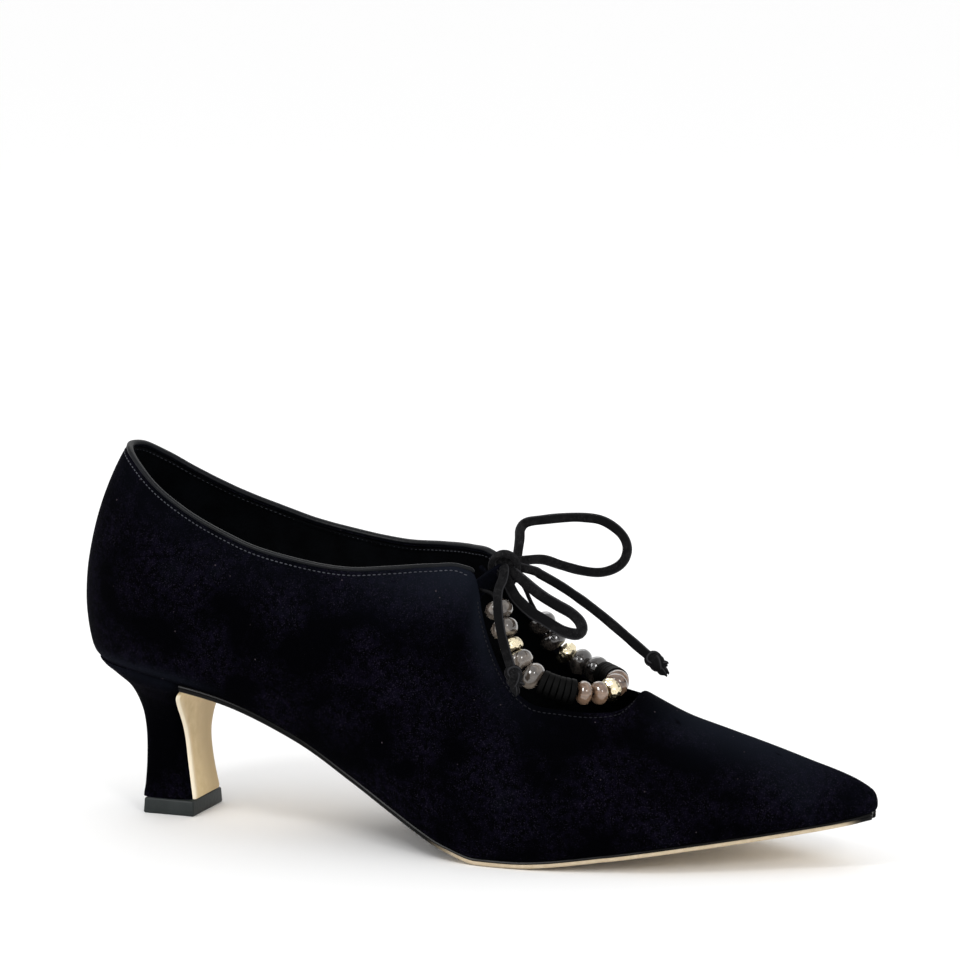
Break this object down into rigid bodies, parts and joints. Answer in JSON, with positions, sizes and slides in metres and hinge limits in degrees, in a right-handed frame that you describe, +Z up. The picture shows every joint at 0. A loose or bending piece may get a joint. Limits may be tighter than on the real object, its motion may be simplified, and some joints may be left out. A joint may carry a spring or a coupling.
{
  "type": "lace up heel",
  "caption": "Pointed kitten heel shoe with a high curved topline, a tear-drop opening edged with beads, and a thin lace tied in a bow at the throat",
  "frame": {"origin": "middle of the heel tip's underside, on the floor", "axes": "+X runs from the heel to the toe, +Z is up, -Y is the outer side of a right shoe"},
  "size_m": [0.2454, 0.0762, 0.1109],
  "materials": {
    "suede": "black suede",
    "heel_suede": "black suede cover",
    "pale_leather": "pale sole leather with a black painted edge",
    "insole_leather": "dark smooth leather",
    "binding_leather": "smooth black leather",
    "tip_rubber": "charcoal",
    "lace_suede": "black suede lace",
    "bead_cord": "black cord",
    "bead_grey": "glossy grey stone look",
    "bead_brown": "glossy brown stone look",
    "bead_gold": "pale gold",
    "bead_disc": "black"
  },
  "bodies": {
    "root": {"bead_brown_01": "bead_brown", "bead_brown_03": "bead_brown", "bead_brown_04": "bead_brown", "bead_brown_10": "bead_brown", "bead_cord": "bead_cord", "bead_gold_02": "bead_gold", "bead_gold_07": "bead_gold", "bead_gold_13": "bead_gold", "bead_grey_05": "bead_grey", "bead_grey_06": "bead_grey", "bead_grey_08": "bead_grey", "bead_grey_09": "bead_grey", "bead_grey_11": "bead_grey", "bead_grey_12": "bead_grey", "bead_grey_14": "bead_grey", "bead_grey_15": "bead_grey", "breast_cover": "pale_leather", "collar_binding": "binding_leather", "disc_1_1": "bead_disc", "disc_1_2": "bead_disc", "disc_1_3": "bead_disc", "disc_1_4": "bead_disc", "disc_1_5": "bead_disc", "disc_1_6": "bead_disc", "disc_2_1": "bead_disc", "disc_2_2": "bead_disc", "disc_2_3": "bead_disc", "disc_2_4": "bead_disc", "disc_2_5": "bead_disc", "disc_2_6": "bead_disc", "end_knot_left": "lace_suede", "end_knot_right": "lace_suede", "heel": "heel_suede", "heel_tip": "tip_rubber", "insole": "insole_leather", "lace_far_loop": "lace_suede", "lace_knot": "lace_suede", "lace_left_end": "lace_suede", "lace_near_loop": "lace_suede", "lace_right_end": "lace_suede", "outsole": "pale_leather", "throat_strap": "suede", "upper": "suede"}
  },
  "joints": []
}
